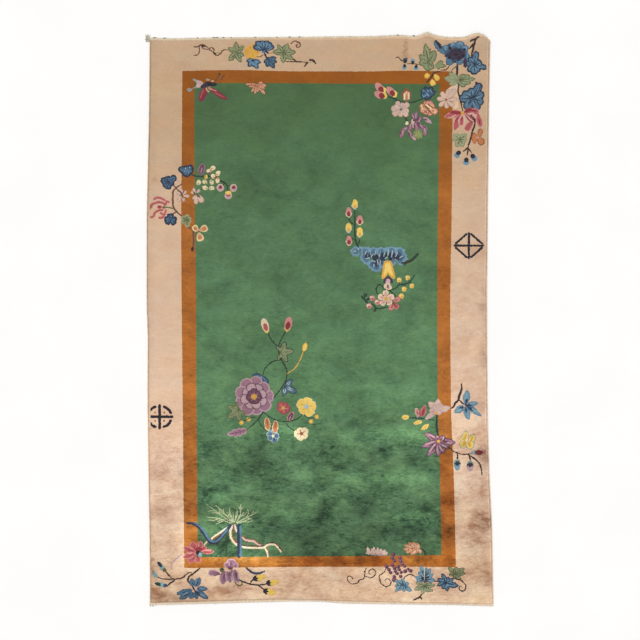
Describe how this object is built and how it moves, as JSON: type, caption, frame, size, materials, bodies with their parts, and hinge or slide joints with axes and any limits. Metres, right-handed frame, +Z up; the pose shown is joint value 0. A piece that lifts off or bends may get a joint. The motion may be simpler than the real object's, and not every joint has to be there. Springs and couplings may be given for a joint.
{
  "type": "chinese art deco rug",
  "caption": "Flat hand-knotted wool rug with a plain field, a narrow band, a wide border with flower sprays, woven end webs and overcast sides.",
  "frame": {"origin": "on the floor, under the middle of the rug's outline", "axes": "+Y along the rug's length towards the end with the low ripples, +X across the rug, +Z up out of the pile"},
  "size_m": [1.5234, 2.5128, 0.0258],
  "materials": {
    "wool_pile": "cut wool pile, soft sheen, green field with amber band and tan border",
    "cotton_web": "flat-woven undyed cotton, matt",
    "wool_overcast": "wool yarn wound over the edge warps, matt"
  },
  "bodies": {
    "root": {"rug_body": "wool_pile", "end_web_far": "cotton_web", "end_web_near": "cotton_web", "side_cord_left": "wool_overcast", "side_cord_right": "wool_overcast"}
  },
  "joints": []
}
